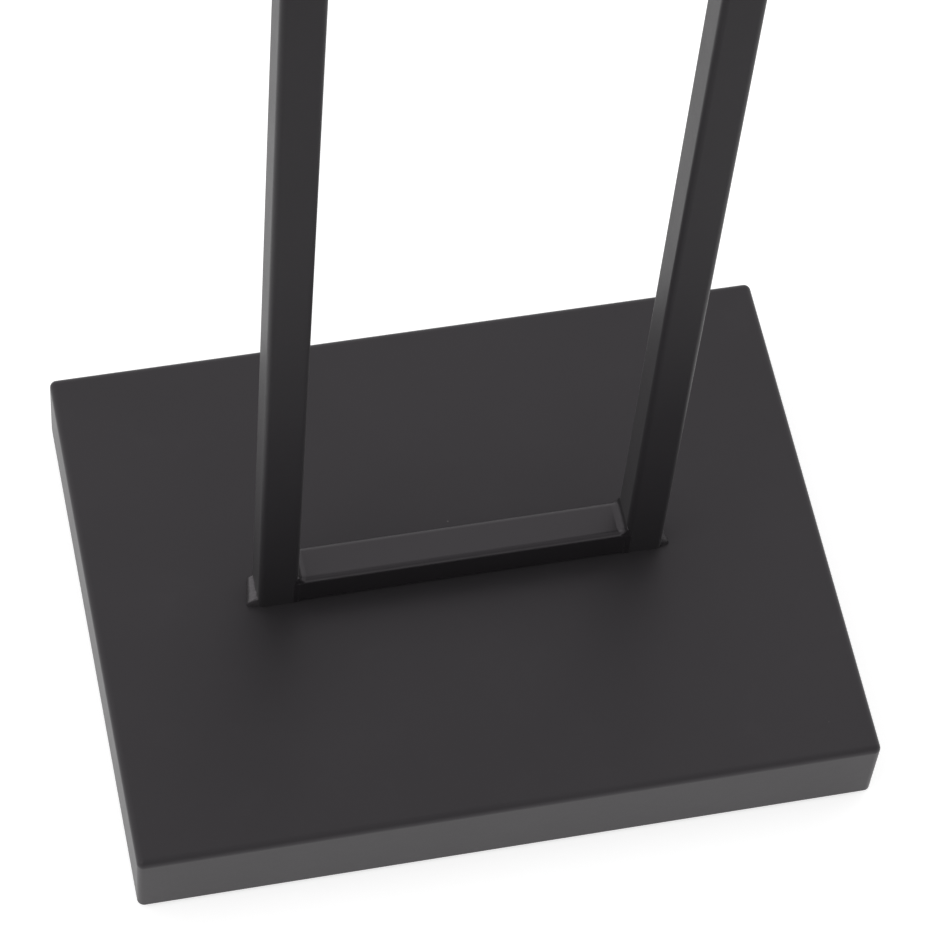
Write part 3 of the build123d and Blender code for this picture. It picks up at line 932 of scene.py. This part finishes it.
@dataclass
class Studio:
    """The floor, the pale room with its soft box, and the camera."""

    azimuth: float = -17.154
    elevation: float = 58.543
    roll: float = 6.511
    distance: float = 2.1526
    aim: tuple[float, float] = (0.0149, 0.0544)
    lens: float = 164.0
    sensor: float = 36.0
    floor_half: float = 9.0
    wall: float = 1.02
    ceiling: float = 0.79
    back_lean: float = 0.45
    wall_top: tuple[float, float] = (0.15, 0.4)
    box_spot: tuple[float, float, float] = (-2.2, -0.6, 2.2)
    box_size: float = 1.8
    box_power: float = 15.0

    def build(self) -> None:
        """Makes the floor, the lights and the camera."""
        self.lay_floor()
        self.hang_lights()
        self.place_camera()
        LOG.info("studio set")

    def lay_floor(self) -> None:
        """Lays the pale floor."""
        clear_selection()
        bpy.ops.mesh.primitive_plane_add(size=2 * self.floor_half, location=(0.0, 0.0, 0.0))
        floor = bpy.context.object
        floor.name = "studio_floor"
        floor.data.materials.append(PaleFloor().material())

    def hang_lights(self) -> None:
        """Hangs the soft box and lights the room: pale walls under a softer ceiling."""
        world = bpy.data.worlds.new("soft_room")
        bpy.context.scene.world = world
        world.use_nodes = True
        nodes, links = world.node_tree.nodes, world.node_tree.links
        background = nodes["Background"]
        background.inputs["Color"].default_value = (1.0, 1.0, 1.0, 1.0)
        split = nodes.new("ShaderNodeSeparateXYZ")
        links.new(nodes.new("ShaderNodeTexCoord").outputs["Generated"], split.inputs[0])
        fade = nodes.new("ShaderNodeMapRange")
        fade.interpolation_type = "SMOOTHSTEP"
        fade.inputs["From Min"].default_value = self.wall_top[0]
        fade.inputs["From Max"].default_value = self.wall_top[1]
        fade.inputs["To Min"].default_value = self.wall
        links.new(split.outputs["Z"], fade.inputs["Value"])
        lean = nodes.new("ShaderNodeMath")
        lean.operation = "MULTIPLY_ADD"
        links.new(split.outputs["Y"], lean.inputs[0])
        lean.inputs[1].default_value = self.back_lean
        lean.inputs[2].default_value = self.ceiling
        links.new(lean.outputs[0], fade.inputs["To Max"])
        links.new(fade.outputs["Result"], background.inputs["Strength"])
        lamp = bpy.data.lights.new("left_box", "AREA")
        lamp.size = self.box_size
        lamp.energy = self.box_power
        holder = bpy.data.objects.new("left_box", lamp)
        holder.location = self.box_spot
        toward = Vector((0.0, 0.0, 0.2)) - Vector(self.box_spot)
        holder.rotation_euler = toward.to_track_quat("-Z", "Y").to_euler()
        bpy.context.scene.collection.objects.link(holder)

    def place_camera(self) -> None:
        """Places the camera above the front left, turned a little about its own axis."""
        turn = math.radians(self.azimuth)
        rise = math.radians(self.elevation)
        level = Vector((math.sin(turn), -math.cos(turn), 0.0))
        back = level * math.cos(rise) + Vector((0.0, 0.0, math.sin(rise)))
        right = Vector((math.cos(turn), math.sin(turn), 0.0))
        up = back.cross(right)
        lean = math.radians(self.roll)
        tilted_right = right * math.cos(lean) + up * math.sin(lean)
        tilted_up = up * math.cos(lean) - right * math.sin(lean)
        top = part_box("base_shell")[1].z
        camera = bpy.data.cameras.new("camera")
        camera.sensor_width = self.sensor
        camera.lens = self.lens
        camera.clip_end = 50.0
        holder = bpy.data.objects.new("camera", camera)
        placing = Matrix((tilted_right, tilted_up, back)).transposed().to_4x4()
        placing.translation = Vector((*self.aim, top)) + back * self.distance
        holder.matrix_world = placing
        bpy.context.scene.collection.objects.link(holder)
        bpy.context.scene.camera = holder


def main() -> None:
    """Builds the looks in order."""
    logging.basicConfig(level=logging.INFO, format="%(name)s: %(message)s")
    bpy.context.scene.view_settings.view_transform = "Standard"
    for part in (Studio(), BaseBox(), Hoop(), Top()):
        part.build()


if __name__ == "__main__":
    main()
